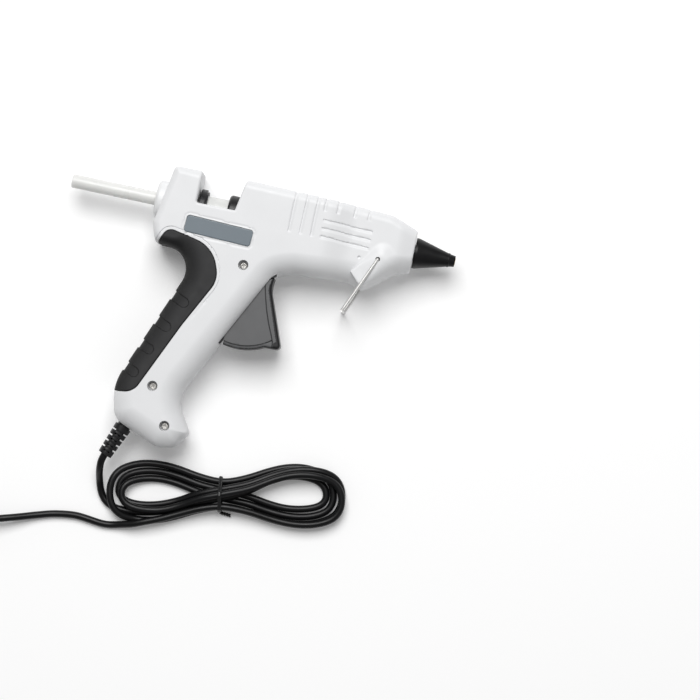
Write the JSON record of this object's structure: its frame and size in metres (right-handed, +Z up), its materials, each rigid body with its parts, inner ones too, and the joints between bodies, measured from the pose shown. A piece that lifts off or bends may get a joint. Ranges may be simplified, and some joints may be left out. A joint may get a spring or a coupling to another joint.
{
  "type": "glue gun",
  "caption": "Corded hot glue gun with a pull trigger, soft grip, folding wire stand, loaded glue stick and a tied mains lead.",
  "frame": {"origin": "middle of the footprint of the gun with its loaded stick, on the surface that it lies on, on its right side", "axes": "+X along the barrel towards the nozzle, +Y towards the top of the gun as it is held, +Z up, out of its left side"},
  "size_m": [0.2766, 0.2388, 0.034],
  "materials": {
    "shell_white": "fine satin moulded texture, light grey white",
    "grip_rubber": "soft matt charcoal overmould",
    "badge_slate": "blank satin slate plate",
    "bush_white": "smooth white nylon",
    "sleeve_milky": "translucent milky plastic",
    "black_plastic": "satin black moulded plastic",
    "trigger_grey": "satin dark grey moulded plastic",
    "carriage_plastic": "black glass-filled nylon",
    "nozzle_silicone": "satin black heat-proof silicone",
    "brass": "turned brass",
    "aluminium": "die-cast aluminium",
    "heater": "film-wrapped heater plate",
    "steel": "bright steel",
    "nickel_screw": "nickel-plated screw",
    "stand_wire": "nickel-plated spring wire",
    "phenolic": "brown phenolic ring",
    "red_silicone": "red silicone",
    "clamp_board": "pressed insulating board",
    "glue": "translucent hot-melt adhesive",
    "cord_pvc": "satin black flexible PVC",
    "lead_brown": "brown sleeving",
    "lead_blue": "blue sleeving",
    "crimp_cap": "closed-end crimp cap",
    "tie_black": "plastic-coated twist tie"
  },
  "bodies": {
    "housing": {"left_housing": "shell_white", "right_housing": "shell_white", "left_grip": "grip_rubber", "right_grip": "grip_rubber", "rear_guide_bush": "bush_white", "melt_chamber": "aluminium", "heater_ptc": "heater", "heater_clip": "steel", "inlet_seal": "red_silicone", "chamber_collar": "phenolic", "nozzle": "brass", "nozzle_cover": "nozzle_silicone", "return_spring": "steel", "trigger_pin": "steel", "housing_screw_1": "nickel_screw", "housing_screw_2": "nickel_screw", "housing_screw_3": "nickel_screw", "badge": "badge_slate", "cord_inside": "cord_pvc", "strain_relief": "cord_pvc", "cord_clamp": "clamp_board", "cord_clamp_screw_1": "steel", "cord_clamp_screw_2": "steel", "crimp_live": "crimp_cap", "lead_live": "lead_brown", "crimp_neutral": "crimp_cap", "lead_neutral": "lead_blue", "cord_lead": "cord_pvc", "cord_tail": "cord_pvc", "cord_hank": "cord_pvc", "cord_tie": "tie_black", "plug_body": "black_plastic", "plug_pin_1": "steel", "plug_pin_2": "steel"},
    "trigger": {"trigger": "trigger_grey", "drive_pin": "steel"},
    "carriage": {"feed_carriage": "carriage_plastic", "carriage_sleeve": "sleeve_milky", "rear_ring": "black_plastic", "front_ring": "black_plastic"},
    "stick": {"glue_stick": "glue"},
    "stand": {"wire_stand": "stand_wire"}
  },
  "joints": [
    {"name": "trigger_pull", "type": "hinge", "parent": "housing", "child": "trigger", "pos_m": [-0.00025, 0.01785, 0.017], "axis": [0, 0, -1], "range_deg": [0, 15], "stiffness_Nm_per_rad": 0.5},
    {"name": "carriage_slide", "type": "slide", "parent": "housing", "child": "carriage", "axis": [1, 0, 0], "range_m": [0, 0.00597], "deforming": ["return_spring"]},
    {"name": "stick_feed", "type": "slide", "parent": "housing", "child": "stick", "axis": [1, 0, 0], "range_m": [0, 0.00597]},
    {"name": "stand_swing", "type": "hinge", "parent": "housing", "child": "stand", "pos_m": [0.06665, 0.04915, 0.017], "axis": [0, 0, 1], "range_deg": [-32, 48]}
  ],
  "couplings": [
    {"joint": "carriage_slide", "follows": "trigger_pull", "m_per_rad": 0.0228},
    {"joint": "stick_feed", "follows": "trigger_pull", "m_per_rad": 0.0228}
  ]
}
